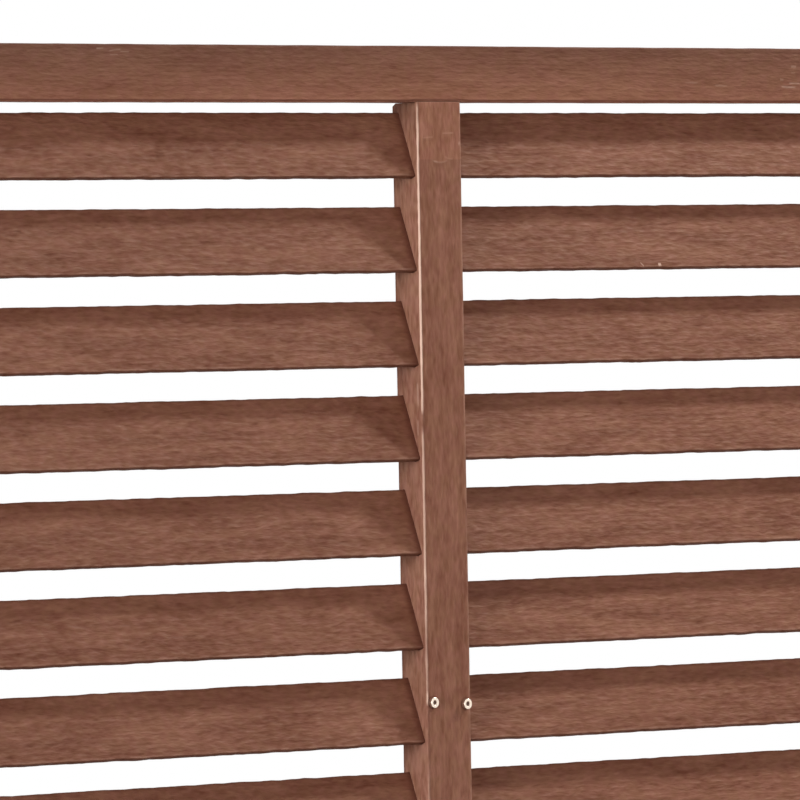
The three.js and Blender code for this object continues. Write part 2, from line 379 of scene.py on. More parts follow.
def railMaterial():
    material = newMaterial("stained_rail")
    tree = material.node_tree
    straight, colour, relief, dash = timberField(tree, "X", "rail")
    place = splitPlace(tree, straight)
    low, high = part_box("top_rail")
    aboveEdge = maths(tree, "SUBTRACT", place["Z"], low.z)
    belowEdge = maths(tree, "SUBTRACT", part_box("bottom_rail")[1].z, place["Z"])
    aside = maths(tree, "ABSOLUTE", place["X"])
    lift = remap(tree, aside, *innerEdgeStainAndShade["reach"], innerEdgeStainAndShade["lift"], 0.0)
    inwards = maths(tree, "SUBTRACT", maths(tree, "MAXIMUM", aboveEdge, belowEdge), lift)
    # gathered stain and painted shade along the inner edge
    line = maths(tree, "MULTIPLY", remap(tree, inwards, *innerEdgeStainAndShade["start"]),
                 remap(tree, inwards, *innerEdgeStainAndShade["end"], innerEdgeStainAndShade["depth"], 0.0))
    faces = maths(tree, "GREATER_THAN", maths(tree, "ABSOLUTE", place["Y"]), high.y - faceDepth["rail"])
    colour = layOver(tree, colour, "dark", line, faces)
    front = maths(tree, "LESS_THAN", place["Y"], low.y + faceDepth["rail"])
    colour = addMarks(tree, colour, place["X"], place["Z"], dash, front, railScuffs)
    finishTimber(tree, colour, relief, dash)
    return material


# The mullion's front left arris is pale in stretches. Heights in metres, and how pale it is from there up.
paleArris = {
    "inner": 0.00105,       # distance from the corner, measured along X plus along Y
    "outer": 0.00160,
    "ragged": 0.00070,
    "beside": 0.00340,      # painted shade next to it, which tones down the rounded arris's own highlight
    "besideDepth": 0.30,
    "stretches": [
        (0.000, 0.02), (0.380, 0.04), (0.440, 0.14), (0.458, 0.02), (0.5045, 0.02), (0.507, 0.66),
        (0.512, 0.62), (0.516, 0.22), (0.535, 0.34), (0.552, 0.18), (0.574, 0.45), (0.592, 0.40),
        (0.600, 0.62), (0.625, 0.45), (0.690, 0.44), (0.708, 0.40), (0.7125, 0.00), (0.7225, 0.00),
        (0.727, 0.62), (0.770, 0.82), (0.800, 0.74), (0.870, 0.84), (0.895, 0.78), (0.912, 0.66),
        (0.927, 0.76), (0.940, 0.56), (0.9545, 0.40), (0.9560, 0.05),
    ],
}

# Painted shade in dark rings round the screws' heads
screwShadeRing = {"inner": 0.0040, "outer": 0.0062, "depth": 0.55}

# The top of the mullion's front is sanded paler, down to a shallow arc
sanded = {"middle": 0.0005, "low": 0.9123, "rise": 30.0, "most": 0.0018, "edge": 0.0010, "gain": 1.17}

# Its end has a painted highlight just under the rail's edge. Depths under the rail's edge, and how strong
# the highlight is there.
topEdgeHighlight = {"from": 0.0006, "to": -0.0006, "share": 0.09}

# Marks on the mullion's front, as (x, z) places
frontMarks = [
    mark((-0.0085, 0.9143), (0.0092, 0.9143), 0.0011, 0.105, bend=-0.0018),
    mark((-0.0062, 0.9134), (-0.0018, 0.9128), 0.0011, 0.105),
    mark((-0.0055, 0.9106), (0.0032, 0.9104), 0.0012, 0.13, "dark"),
    mark((0.0045, 0.9168), (0.0145, 0.9152), 0.0012, 0.07, bend=-0.0006),
    mark((-0.0180, 0.9309), (-0.0060, 0.9315), 0.0009, 0.09),
    mark((-0.0170, 0.9290), (-0.0060, 0.9293), 0.0014, 0.09, "dark"),
    mark((0.0025, 0.9343), (0.0155, 0.9346), 0.0009, 0.13),
    mark((0.0035, 0.9366), (0.0110, 0.9368), 0.0012, 0.08, "dark"),
    mark((0.0190, 0.9265), (0.0226, 0.9270), 0.0022, 0.16),
]

# Long scuffs on the mullion's left side, as (z, y) places
sideMarks = [
    mark((0.7280, -0.0094), (0.7480, -0.0092), 0.0016, 0.20),
    mark((0.7060, -0.0090), (0.7200, -0.0090), 0.0014, 0.16),
]


def shadeRoundScrews(tree, colour, place, front, screws):
    flat = addNode(tree, "ShaderNodeCombineXYZ", {0: place["X"], 1: 0.0, 2: place["Z"]}).outputs[0]
    for screw in screws:
        centre = middleOf(screw)
        ends = {0: flat, 1: (centre.x, 0, centre.z)}
        span = addNode(tree, "ShaderNodeVectorMath", ends, operation="DISTANCE").outputs["Value"]
        # painted shade round the screw's head
        halo = remap(tree, span, screwShadeRing["inner"], screwShadeRing["outer"], screwShadeRing["depth"], 0.0)
        colour = layOver(tree, colour, "dark", halo, front)
    return colour


def sandedTopAndEndHighlight(tree, colour, place, front):
    out = maths(tree, "SUBTRACT", place["X"], sanded["middle"])
    arc = maths(tree, "MULTIPLY", maths(tree, "MULTIPLY", out, out), sanded["rise"])
    arc = maths(tree, "ADD", maths(tree, "MINIMUM", arc, sanded["most"]), sanded["low"])
    height = maths(tree, "SUBTRACT", place["Z"], arc)
    above = remap(tree, height, 0.0, sanded["edge"], 0.0, sanded["gain"] - 1.0)
    colour = scaleColour(tree, colour, maths(tree, "MULTIPLY_ADD", above, front, 1.0))
    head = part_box("top_rail")[0].z
    # painted highlight along the mullion's top end
    edge = remap(tree, place["Z"], head - topEdgeHighlight["from"], head - topEdgeHighlight["to"], 0.0, topEdgeHighlight["share"])
    return layOver(tree, colour, "bare", edge, front)


def paleLeftArris(tree, colour, place, front, dash, corner):
    ramp = addNode(tree, "ShaderNodeValToRGB", {0: place["Z"]})
    elements = ramp.color_ramp.elements
    for height, share in paleArris["stretches"]:
        stop = elements.new(height)
        stop.color = (share, share, share, 1)
    elements.remove(elements[0])
    elements.remove(elements[-1])
    ragged = paleArris["ragged"]
    reach = maths(tree, "ADD", place["X"], place["Y"])
    reach = maths(tree, "SUBTRACT", reach, corner.x + corner.y - ragged / 2)
    reach = maths(tree, "SUBTRACT", reach, maths(tree, "MULTIPLY", dash, ragged))
    # painted shade beside the arris, which tones down the rounded arris's own highlight
    rim = remap(tree, reach, paleArris["outer"], paleArris["beside"], paleArris["besideDepth"], 0.0)
    colour = layOver(tree, colour, "dark", rim, front)
    line = remap(tree, reach, paleArris["inner"], paleArris["outer"], 1.0, 0.0)
    amount = maths(tree, "MULTIPLY", line, ramp.outputs["Color"], clamp=True)
    return mixColour(tree, amount, colour, timber["bare"])


def uprightMaterial(name, screws):
    material = newMaterial("stained_" + name)
    tree = material.node_tree
    colour, relief, dash = timberField(tree, "Z", "upright")[1:]
    place = splitPlace(tree, objectPlace(tree))
    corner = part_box(name)[0]
    front = maths(tree, "LESS_THAN", place["Y"], corner.y + faceDepth["upright"])
    colour = shadeRoundScrews(tree, colour, place, front, screws)
    if name == "mullion":
        colour = sandedTopAndEndHighlight(tree, colour, place, front)
        colour = addMarks(tree, colour, place["X"], place["Z"], dash, front, frontMarks)
        left = maths(tree, "LESS_THAN", place["X"], corner.x + faceDepth["upright"])
        colour = addMarks(tree, colour, place["Z"], place["Y"], dash, left, sideMarks)
        colour = paleLeftArris(tree, colour, place, front, dash, corner)
    finishTimber(tree, colour, relief, dash)
    return material


# Zinc-plated steel of the screws
plating = {
    "colour": (0.970, 0.840, 0.710, 1),
    "dull": (0.860, 0.720, 0.590, 1),
    "dullLevels": (0.40, 0.70),
    "darkBrown": (0.165, 0.084, 0.056, 1),   # dark brown and not metallic, in the sockets and on the sides of the heads
    "sheenLevels": (0.3, 0.7),
    "roughness": (0.26, 0.42),
    "cloudScale": 900,
    "cloudDetail": 3.0,
    "bumpStrength": 0.4,
    "bumpDepth": 0.00002,
}


def platedMaterial():
    material = newMaterial("plated_steel")
    tree = material.node_tree
    clouding = cloud(tree, objectPlace(tree), plating["cloudScale"], plating["cloudDetail"])["Fac"]
    low, high = plating["roughness"]
    sizes = {"Strength": plating["bumpStrength"], "Distance": plating["bumpDepth"], "Height": clouding}
    bump = addNode(tree, "ShaderNodeBump", sizes)
    darkBrownShare = attributeValue(tree, "darkBrown")
    dullness = remap(tree, clouding, *plating["dullLevels"])
    metal = mixColour(tree, dullness, plating["colour"], plating["dull"])
    shader = addNode(tree, "ShaderNodeBsdfPrincipled", {
        "Base Color": mixColour(tree, darkBrownShare, metal, plating["darkBrown"]),
        "Metallic": maths(tree, "SUBTRACT", 1.0, darkBrownShare, clamp=True),
        "Roughness": remap(tree, clouding, *plating["sheenLevels"], low, high, smooth=False),
        "Normal": bump.outputs[0],
    })
    addNode(tree, "ShaderNodeOutputMaterial", {"Surface": shader.outputs[0]})
    return material


slatFinish = slatMaterial()
railFinish = railMaterial()
plated = platedMaterial()
print("materials made")


# Shapes shared by the timber pieces
fitGap = 0.0003        # clearance between pieces, as in the frame
sharpAngle = math.radians(38)
mergeDistance = 0.000001
edgeLookShare = 0.6        # how much of the strip between an arris and its support loop takes the arris's wear, painted shade and painted highlight


def longEdges(bar, length):
    return [edge for edge in bar.edges if abs(edge.verts[0].co.x - edge.verts[1].co.x) > length / 2]


# A bar centred on the origin with its length along X and its long edges rounded
def roundedBar(length, depth, height, arris, segments):
    bar = bmesh.new()
    bmesh.ops.create_cube(bar, size=1.0)
    bmesh.ops.scale(bar, vec=(length, depth, height), verts=bar.verts)
    bmesh.ops.bevel(bar, geom=longEdges(bar, length), offset=arris, affect="EDGES", segments=segments,
                    profile=0.5, material=-1)
    return bar


# Support loops close to each arris keep the wear, painted shade and painted highlights there, and stations
# along the length carry the unevenness
def addLoops(bar, length, depth, height, support, stations):
    for half, axis in ((depth / 2, Vector((0, 1, 0))), (height / 2, Vector((0, 0, 1)))):
        for side in (-1, 1):
            everything = bar.verts[:] + bar.edges[:] + bar.faces[:]
            near = axis * side * (half - support)
            bmesh.ops.bisect_plane(bar, geom=everything, plane_co=near, plane_no=axis)
    bmesh.ops.subdivide_edges(bar, edges=longEdges(bar, length), cuts=stations, use_grid_fill=True)


# The unevenness of planed surfaces: two waves, and the rows of noise that each face and edge follows
unevenness = {
    "slow": {"crowding": 1.0, "row": 0.37, "share": 1.15},
    "quick": {"crowding": 2.7, "row": 5.91, "share": 0.45},
    "edgeRows": {"upper": 9.1, "lower": 2.3},
    "faceRows": {"back": 4.4, "front": 7.9},
    "slatFaceRow": 17.7,
    "faceStretch": 4,      # faces stray this much more slowly than edges
}


# How far a surface strays at a place along a piece, from -1 to 1
def stray(along, pitch, row):
    total = 0.0
    for wave in (unevenness["slow"], unevenness["quick"]):
        total += wave["share"] * noise.noise(Vector((along / pitch * wave["crowding"], row, wave["row"])))
    return max(-1.0, min(1.0, total))


def edgeRow(level):
    return unevenness["edgeRows"]["upper" if level > 0 else "lower"]


def paint(mesh, name, values):
    layer = mesh.attributes.new(name, "FLOAT", "POINT")
    layer.data.foreach_set("value", values)


def makeObject(name, shape, material):
    mesh = bpy.data.meshes.new(name)
    shape.to_mesh(mesh)
    shape.free()
    mesh.materials.append(material)
    piece = bpy.data.objects.new(name, mesh)
    scene.collection.objects.link(piece)
    return piece


# Cuts the tool out of the piece, or joins it on, and drops the tool
def boolean(piece, tool, operation):
    cutter = makeObject("tool", tool, piece.data.materials[0])
    change = piece.modifiers.new("cut", "BOOLEAN")
    change.operation = operation
    change.object = cutter
    change.solver = "EXACT"
    bpy.context.view_layer.update()
    solid = piece.evaluated_get(bpy.context.evaluated_depsgraph_get())
    cut = bpy.data.meshes.new_from_object(solid)
    piece.modifiers.clear()
    piece.data = cut
    bpy.data.objects.remove(cutter)


# Rounded parts shade smoothly and true corners stay crisp
def shadeByAngle(piece):
    shape = bmesh.new()
    shape.from_mesh(piece.data)
    for face in shape.faces:
        face.smooth = True
    for edge in shape.edges:
        edge.smooth = len(edge.link_faces) == 2 and edge.calc_face_angle(0) < sharpAngle
    shape.to_mesh(piece.data)
    shape.free()
    weighting = piece.modifiers.new("weighted", "WEIGHTED_NORMAL")
    weighting.keep_sharp = True


def dress(piece, slot, *nodes):
    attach(piece, "root")
    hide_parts(*nodes)


# A square block between two corners
def block(low, high):
    shape = bmesh.new()
    bmesh.ops.create_cube(shape, size=1.0)
    low, high = Vector(low), Vector(high)
    bmesh.ops.scale(shape, vec=high - low, verts=shape.verts)
    bmesh.ops.translate(shape, vec=(low + high) / 2, verts=shape.verts)
    return shape


def moved(shape, matrix):
    bmesh.ops.transform(shape, matrix=matrix, verts=shape.verts)
    return shape


def addShape(target, extra):
    holder = bpy.data.meshes.new("holder")
    extra.to_mesh(holder)
    extra.free()
    target.from_mesh(holder)
    bpy.data.meshes.remove(holder)


# A turned shape about Z from a half outline that starts and ends on the axis
def turned(outline, steps):
    shape = bmesh.new()
    corners = [shape.verts.new((out, 0, up)) for out, up in outline]
    for start, end in zip(corners, corners[1:]):
        shape.edges.new((start, end))
    bmesh.ops.spin(shape, geom=shape.verts[:] + shape.edges[:], cent=(0, 0, 0), axis=(0, 0, 1),
                   angle=2 * math.pi, steps=steps, use_merge=True)
    bmesh.ops.remove_doubles(shape, verts=shape.verts, dist=mergeDistance)
    bmesh.ops.recalc_face_normals(shape, faces=shape.faces)
    return shape


# Where the pieces meet, as in the frame
joinery = {
    "overrun": 0.002,          # how far a tool runs past the face it cuts
    "housingDepth": 0.011,
    "tenonThickness": 0.010,
    "tenonShoulder": 0.006,
    "mortiseDepth": 0.0203,
    "lipHeight": 0.0007,       # the uprights' front shoulders are let into the rails' arrises
    "lipDepth": 0.0030,
    "slatPilot": 0.0023,       # radius
    "railPilot": 0.0028,       # radius
    "railSink": 0.0053,        # radius of the countersink's mouth
    "railSinkRim": 0.0009,
    "railSinkCone": 0.0028,
    "railPilotDepth": 0.0606,
    "slatPilotSteps": 24,
    "railPilotSteps": 32,
}

uprightNames = ("left_stile", "mullion", "right_stile")
slatScrewNames = [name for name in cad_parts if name.startswith("slat_screw_")]


# The pilot hole of a flat-topped screw, along Y at the screw's place
def slatPilot(screw):
    low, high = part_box(screw)
    centre = middleOf(screw)
    radius = joinery["slatPilot"]
    start, tip = low.y - joinery["overrun"], high.y + fitGap
    tool = turned([(0, start), (radius, start), (radius, tip), (0, tip)], joinery["slatPilotSteps"])
    turn = Matrix.Rotation(math.radians(-90), 4, "X")
    return moved(tool, Matrix.Translation((centre.x, 0, centre.z)) @ turn)


# Way is 1 in and about the top rail and -1 at the bottom one, whose pieces are upside down
def turnFor(way):
    return Matrix.Identity(4) if way > 0 else Matrix.Rotation(math.pi, 4, "X")


# The countersunk hole of a rail screw, from the rail's outer edge inwards
def railPilot(screw, way):
    low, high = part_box(screw)
    edge = (high.z if way > 0 else -low.z) + fitGap
    mouth, bore = joinery["railSink"], joinery["railPilot"]
    seat = edge - joinery["railSinkRim"]
    tip = edge - joinery["railPilotDepth"]
    outline = [(0, tip), (bore, tip), (bore, seat - joinery["railSinkCone"]), (mouth, seat),
               (mouth, edge + joinery["overrun"]), (0, edge + joinery["overrun"])]
    tool = turned(outline, joinery["railPilotSteps"])
    return moved(tool, Matrix.Translation((middleOf(screw).x, 0, 0)) @ turnFor(way))


def cutRailPilots(piece, joint, way):
    label = "top" if way > 0 else "bottom"
    for number in (1, 2):
        boolean(piece, railPilot(f"{label}_screw_{joint}_{number}", way), "DIFFERENCE")


# Slats
slat = {
    "width": 0.0515,
    "thickness": 0.006,
    "tilt": math.radians(20.5),
    "arris": 0.0010,
    "segments": 3,
    "support": 0.0022,
    "stations": 210,
    "edgeStray": 0.00040,
    "faceStray": 0.00012,
    "strayPitch": 0.012,
    "steadyEnd": 0.014,     # no straying where the end sits in its housing
    "tone": 0.850,
    "toneSpread": 0.035,
    "topWear": -0.45,
    # painted shade on the slats' lower edges and undersides
    "bottomShade": -0.30,
    "lowerArrisWear": 0.08,
    "lowerArrisReach": 0.35,    # share of the arris's depth behind the front
    "seedStep": 3.17,
    "rightBaySeed": 41.0,
    "toneSeeds": (1.7, 3.3, 8.1),
}


def slatBar(length, extra):
    depth, height = slat["thickness"] + 2 * extra, slat["width"] + 2 * extra
    return roundedBar(length, depth, height, slat["arris"] + extra, slat["segments"])


def tiltAndPlace(shape, centre):
    return moved(shape, Matrix.Translation(centre) @ Matrix.Rotation(-slat["tilt"], 4, "X"))


# Wear of a slat's edges, with painted shade on its lower edge and underside
def slatWearAndShade(place):
    across, through = place.z, place.y
    if across > slat["width"] / 2 - slat["support"] * edgeLookShare:
        return slat["topWear"]
    if across < -slat["width"] / 2 + slat["support"] * edgeLookShare:
        inFront = through < -slat["thickness"] / 2 + slat["arris"] * slat["lowerArrisReach"]
        return slat["lowerArrisWear"] if inFront else slat["bottomShade"]
    return 0.0


# The edges and faces of a slat stray between its housings
def strayBetween(shape, length, seed):
    pitch, steady = slat["strayPitch"], slat["steadyEnd"]
    for vert in shape.verts:
        along = vert.co.x
        fade = max(0.0, min(1.0, (length / 2 - abs(along) - steady) / steady))
        edge = stray(along, pitch, seed + edgeRow(vert.co.z))
        face = stray(along, pitch * unevenness["faceStretch"], seed + unevenness["slatFaceRow"])
        vert.co.z += edge * slat["edgeStray"] * fade
        vert.co.y += face * slat["faceStray"] * fade


def makeSlat(bay, index):
    node = f"slat_{bay}_{index:02d}"
    low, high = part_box(node)
    length = high.x - low.x
    seed = index * slat["seedStep"] + (slat["rightBaySeed"] if bay == "right" else 0.0)
    shape = slatBar(length, 0)
    addLoops(shape, length, slat["thickness"], slat["width"], slat["support"], slat["stations"])
    strayBetween(shape, length, seed)
    wearAndPaintedLight = [slatWearAndShade(vert.co) for vert in shape.verts]
    tiltAndPlace(shape, middleOf(node))
    piece = makeObject("planed_" + node, shape, slatFinish)
    paint(piece.data, "wearAndPaintedLight", wearAndPaintedLight)
    seedScale, row, layer = slat["toneSeeds"]
    tone = slat["tone"] + slat["toneSpread"] * noise.noise(Vector((seed * seedScale, row, layer)))
    paint(piece.data, "tone", [tone] * len(wearAndPaintedLight))
    for screw in slatScrewNames:
        spot = middleOf(screw)
        if low.x < spot.x < high.x and low.z < spot.z < high.z:
            boolean(piece, slatPilot(screw), "DIFFERENCE")
    shadeByAngle(piece)
    dress(piece, "stained_timber", node)


slatCount = sum(name.startswith("slat_left_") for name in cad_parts)
for bayName in ("left", "right"):
    for number in range(1, slatCount + 1):
        makeSlat(bayName, number)
print("slats made:", 2 * slatCount)


# Rails
rail = {
    "arris": 0.0012,
    "segments": 4,
    "support": 0.0022,
    "stations": 240,
    "edgeStray": 0.00030,
    "faceStray": 0.00012,
    "strayPitch": 0.014,
    "outerTone": 0.71,
    "innerTone": 1.19,
    "sideTone": 0.92,       # past a reach from the middle
    "sideReach": 0.30,
    "outerWear": -0.50,
    "mouthPaintedLight": 1.7,       # painted light on the top rail's lower front arris, away from the uprights, which faces down into shade
    "mouthReach": 0.055,
    # painted light on the top rail's underside
    "undersidePaintedLight": 1.5,
    "undersideReach": 0.85,     # share of the arris's height
    "mouthDepth": 1.1,          # share of the arris's depth behind the front
    "steadyReach": 0.035,       # no straying this near the middle of an upright
    "seeds": {"top_rail": 61.3, "bottom_rail": 77.9},
}


# Faces stray inwards only, so that a piece never grows past the frame's, and not near the steady places
def strayInwards(shape, settings, seed, steady=(), reach=1.0):
    pitch = settings["strayPitch"]
    for vert in shape.verts:
        along, side, level = vert.co
        edge = 0.5 + 0.5 * stray(along, pitch, seed + edgeRow(level))
        for place in steady:
            edge *= max(0.0, min(1.0, abs(along - place) / reach - 1.0))
        faceRow = unevenness["faceRows"]["back" if side > 0 else "front"]
        face = 0.5 + 0.5 * stray(along, pitch * unevenness["faceStretch"], seed + faceRow)
        vert.co.z -= math.copysign(edge * settings["edgeStray"], level)
        vert.co.y -= math.copysign(face * settings["faceStray"], side)


def finishBar(piece, node, wearAndPaintedLight, tone):
    paint(piece.data, "wearAndPaintedLight", wearAndPaintedLight)
    paint(piece.data, "tone", tone)
    shadeByAngle(piece)
    dress(piece, "stained_timber", node)


# A mortise, a shallow let-in for the front lip and two countersunk holes at each upright
def cutRail(piece, way, low, high):
    mouth = low.z if way > 0 else high.z
    start = mouth - way * joinery["overrun"]
    through = joinery["tenonThickness"] / 2 + fitGap
    for joint in uprightNames:
        lowest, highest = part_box(joint)
        across = (highest.x - lowest.x) / 2 - joinery["tenonShoulder"] + fitGap
        centre = (lowest.x + highest.x) / 2
        ends = sorted((start, mouth + way * joinery["mortiseDepth"]))
        mortise = block((centre - across, -through, ends[0]), (centre + across, through, ends[1]))
        boolean(piece, mortise, "DIFFERENCE")
        ends = sorted((start, mouth + way * joinery["lipHeight"]))
        letIn = block((lowest.x - fitGap, low.y - joinery["overrun"], ends[0]),
                      (highest.x + fitGap, low.y + joinery["lipDepth"] + fitGap, ends[1]))
        boolean(piece, letIn, "DIFFERENCE")
        cutRailPilots(piece, joint, way)


# Darker towards the outer edge and the ends of the panel, with painted light on the top rail's lower front
# arris and underside, which face down into shade
def railTone(place, outward, way, height, low, joints):
    arris = rail["arris"]
    # painted light on the top rail's lower front arris and underside
    if way > 0 and outward < arris * rail["undersideReach"] / height:
        if place.y >= low.y + arris * rail["mouthDepth"]:
            return rail["undersidePaintedLight"]
        clear = all(abs(place.x - joint) > rail["mouthReach"] for joint in joints)
        return rail["mouthPaintedLight"] if clear else 1.0
    aside = min(1.0, abs(place.x) / rail["sideReach"])
    level = rail["innerTone"] + (rail["outerTone"] - rail["innerTone"]) * outward
    return level * (1.0 + (rail["sideTone"] - 1.0) * aside)


def makeRail(node, way):
    low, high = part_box(node)
    size = high - low
    shape = roundedBar(size.x, size.y, size.z, rail["arris"], rail["segments"])
    addLoops(shape, size.x, size.y, size.z, rail["support"], rail["stations"])
    joints = [middleOf(name).x for name in uprightNames]
    strayInwards(shape, rail, rail["seeds"][node], joints, rail["steadyReach"])
    moved(shape, Matrix.Translation(middleOf(node)))
    piece = makeObject("planed_" + node, shape, railFinish)
    cutRail(piece, way, low, high)
    near = rail["support"] * edgeLookShare
    wearAndPaintedLight, tone = [], []
    for vert in piece.data.vertices:
        place = vert.co
        onSide = place.y < low.y + near or place.y > high.y - near
        outward = ((place.z - low.z) if way > 0 else (high.z - place.z)) / size.z
        wearAndPaintedLight.append(rail["outerWear"] if onSide and outward > 1 - near / size.z else 0.0)
        tone.append(railTone(place, outward, way, size.z, low, joints))
    finishBar(piece, node, wearAndPaintedLight, tone)


makeRail("top_rail", 1)
makeRail("bottom_rail", -1)
print("rails made")


# Stiles and mullion
upright = {
    "arris": 0.0012,
    "segments": 4,
    "support": 0.0026,
    "stations": 130,
    "edgeStray": 0.00022,
    "faceStray": 0.00010,
    "strayPitch": 0.014,
    "backWear": -0.45,
    # painted highlight on the front right arris
    "rightHighlight": 0.09,
    "screwsOf": {
        "left_stile": ["slat_screw_left_bay_at_left_stile"],
        "mullion": ["slat_screw_left_bay_at_mullion", "slat_screw_right_bay_at_mullion"],
        "right_stile": ["slat_screw_right_bay_at_right_stile"],
    },
    "tones": {"left_stile": 1.0, "mullion": 1.06, "right_stile": 0.98},
    "sideShadeTones": (0.90, 1.00),    # painted shade: the side faces darker towards the back, as tones at their back and front
    # painted light: the side faces a little paler
    "sidePaintedLight": 0.05,
    "headShade": {"full": 0.013, "end": 0.028, "tone": 0.80},     # side faces, just under the top rail
    # The corner lost from the mullion's top, back and left
    "chip": {"size": (0.0052, 0.0066, 0.0024), "turn": math.radians(-34)},
    "seeds": {"left_stile": 13.7, "mullion": 19.0, "right_stile": 24.3},
}


# Cuts the shoulders, all but their front lips, and joins on the stub tenons
def makeTenons(piece, centre, low, high, foot, head):
    overrun = joinery["overrun"]
    across, through = (high.x - low.x) / 2 - joinery["tenonShoulder"], joinery["tenonThickness"] / 2
    for way, shoulder in ((-1, foot), (1, head)):
        ends = sorted((shoulder, shoulder + way * (joinery["lipHeight"] + overrun)))
        behind = block((low.x - overrun, low.y + joinery["lipDepth"], ends[0]),
                       (high.x + overrun, high.y + overrun, ends[1]))
        boolean(piece, behind, "DIFFERENCE")
    for inner, outer in ((foot + overrun, low.z), (head - overrun, high.z)):
        ends = sorted((inner, outer))
        tenon = block((centre.x - across, -through, ends[0]), (centre.x + across, through, ends[1]))
        boolean(piece, tenon, "UNION")


# Housings for all the slats that end in this upright
def cutHousings(piece, low, high):
    run = joinery["housingDepth"] + joinery["overrun"]
    housings = bmesh.new()
    for bay in ("left", "right"):
        for number in range(1, slatCount + 1):
            slatLow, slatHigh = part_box(f"slat_{bay}_{number:02d}")
            for end, way in ((slatLow.x, -1), (slatHigh.x, 1)):
                if low.x < end < high.x:
                    middle = (slatLow + slatHigh) / 2
                    middle.x = end + way * (fitGap - run / 2)
                    addShape(housings, tiltAndPlace(slatBar(run, fitGap), middle))
    boolean(piece, housings, "DIFFERENCE")


def chipCorner(piece, corner):
    size = Vector(upright["chip"]["size"])
    turn = Matrix.Rotation(upright["chip"]["turn"], 4, "X")
    chip = moved(block(-size, size), Matrix.Translation(corner) @ turn)
    boolean(piece, chip, "DIFFERENCE")


# The wear and the tone of each point of an upright, with painted shade towards the back of the side faces
# and under the top rail, painted light on the side faces and a painted highlight on the front right arris
def uprightLook(piece, node, low, high, foot, head):
    near, lip = upright["support"] * edgeLookShare, joinery["lipHeight"]
    depth = high.y - low.y
    backTone, frontTone = upright["sideShadeTones"]
    shade = upright["headShade"]
    wearAndPaintedLight, tone = [], []
    for vert in piece.data.vertices:
        left, right = vert.co.x < low.x + near, vert.co.x > high.x - near
        front, back = vert.co.y < low.y + near, vert.co.y > high.y - near
        onArris = foot - lip < vert.co.z < head + lip
        level = 1.0
        # painted shade towards the back of the side faces and under the top rail
        if left or right:
            forward = (high.y - vert.co.y) / depth
            level = backTone + (frontTone - backTone) * forward
            if not (front or back):
                shaded = (vert.co.z - head + shade["end"]) / (shade["end"] - shade["full"])
                level *= 1.0 + (shade["tone"] - 1.0) * max(0.0, min(1.0, shaded))
        tone.append(upright["tones"][node] * level)
        # painted highlight on the front right arris and painted light on the side faces
        wearAndPaintedLight.append(upright["backWear"] if back and (left or right) else
                    upright["rightHighlight"] if front and right and onArris else
                    upright["sidePaintedLight"] if left or right else 0.0)
    return wearAndPaintedLight, tone


def makeUpright(node):
    low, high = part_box(node)
    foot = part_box("bottom_rail")[1].z + fitGap
    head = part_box("top_rail")[0].z - fitGap
    width, depth, length = high.x - low.x, high.y - low.y, head - foot
    centre = Vector(((low.x + high.x) / 2, (low.y + high.y) / 2, (foot + head) / 2))
    lips = 2 * joinery["lipHeight"]
    shape = roundedBar(length + lips, depth, width, upright["arris"], upright["segments"])
    addLoops(shape, length, depth, width, upright["support"], upright["stations"])
    strayInwards(shape, upright, upright["seeds"][node])
    moved(shape, Matrix.Translation(centre) @ Matrix.Rotation(math.radians(-90), 4, "Y"))
    screws = upright["screwsOf"][node]
    piece = makeObject("planed_" + node, shape, uprightMaterial(node, screws))
    makeTenons(piece, centre, low, high, foot, head)
    cutHousings(piece, low, high)
    for screw in screws:
        boolean(piece, slatPilot(screw), "DIFFERENCE")
    for way in (1, -1):
        cutRailPilots(piece, node, way)
    if node == "mullion":
        chipCorner(piece, Vector((low.x, high.y, head)))
    finishBar(piece, node, *uprightLook(piece, node, low, high, foot, head))


for name in uprightNames:
    makeUpright(name)
print("uprights made")


# Flat-topped screws with a hexagonal socket
flatScrew = {
    "head": 0.0080,
    "height": 0.0026,
    "side": 0.0022,          # height of the straight side of the head
    "crown": 0.0072,         # diameter of the flat top
    "shank": 0.0040,
    "point": 0.0045,
    "socket": 0.0027,        # across the flats
    "socketDepth": 0.0014,
    "socketMouth": 0.0043,   # diameter of the eased mouth
    "cleanShare": 0.5,       # share of the height of the head's arris that stays clean
    "arrisSteps": 5,
    "turnSteps": 56,
    "mouthSteps": 48,
}


# All of a screw but the flat top of its head is dark brown and not metallic
def paintDarkBrown(piece, top):
    clean = top + (flatScrew["height"] - flatScrew["side"]) * flatScrew["cleanShare"]
    paint(piece.data, "darkBrown", [float(vert.co.y > clean) for vert in piece.data.vertices])


